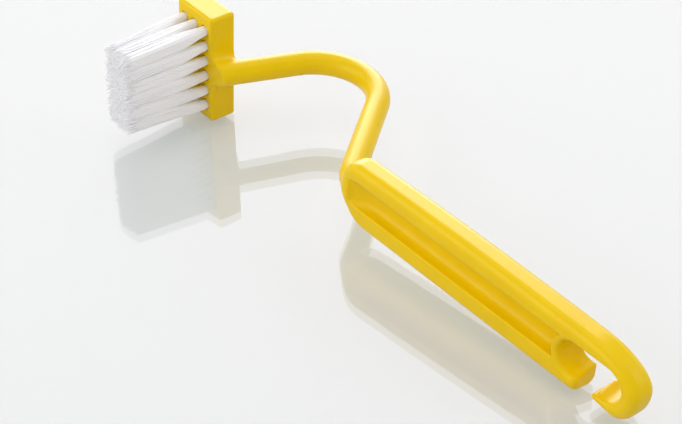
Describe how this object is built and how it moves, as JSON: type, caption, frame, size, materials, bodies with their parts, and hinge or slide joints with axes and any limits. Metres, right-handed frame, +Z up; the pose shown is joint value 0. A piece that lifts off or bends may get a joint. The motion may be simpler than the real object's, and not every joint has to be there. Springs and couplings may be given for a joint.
{
  "type": "cleaning brush",
  "caption": "Small cleaning brush: block of bristle tufts on a round bent neck, with a channelled handle bar that ends in an open hanging hook.",
  "frame": {"origin": "centre of the bounding box's base, on the surface that the brush lies on", "axes": "+X runs from the head to the hook along the handle, +Y is the side to which the neck bends, away from the bristle tips, and +Z is up"},
  "size_m": [0.2022, 0.0698, 0.0384],
  "materials": {
    "body": "glossy injection-moulded plastic",
    "bristles": "straight cut nylon filaments",
    "anchors": "flat wire"
  },
  "bodies": {
    "root": {"moulded_body": "body", "tuft_r1_c1": "bristles", "tuft_r1_c2": "bristles", "tuft_r1_c3": "bristles", "tuft_r2_c1": "bristles", "tuft_r2_c2": "bristles", "tuft_r2_c3": "bristles", "tuft_r3_c1": "bristles", "tuft_r3_c2": "bristles", "tuft_r3_c3": "bristles", "tuft_r4_c1": "bristles", "tuft_r4_c2": "bristles", "tuft_r4_c3": "bristles", "tuft_r5_c1": "bristles", "tuft_r5_c2": "bristles", "tuft_r5_c3": "bristles", "tuft_r6_c1": "bristles", "tuft_r6_c2": "bristles", "tuft_r6_c3": "bristles", "anchor_r1_c1": "anchors", "anchor_r1_c2": "anchors", "anchor_r1_c3": "anchors", "anchor_r2_c1": "anchors", "anchor_r2_c2": "anchors", "anchor_r2_c3": "anchors", "anchor_r3_c1": "anchors", "anchor_r3_c2": "anchors", "anchor_r3_c3": "anchors", "anchor_r4_c1": "anchors", "anchor_r4_c2": "anchors", "anchor_r4_c3": "anchors", "anchor_r5_c1": "anchors", "anchor_r5_c2": "anchors", "anchor_r5_c3": "anchors", "anchor_r6_c1": "anchors", "anchor_r6_c2": "anchors", "anchor_r6_c3": "anchors"}
  },
  "joints": []
}
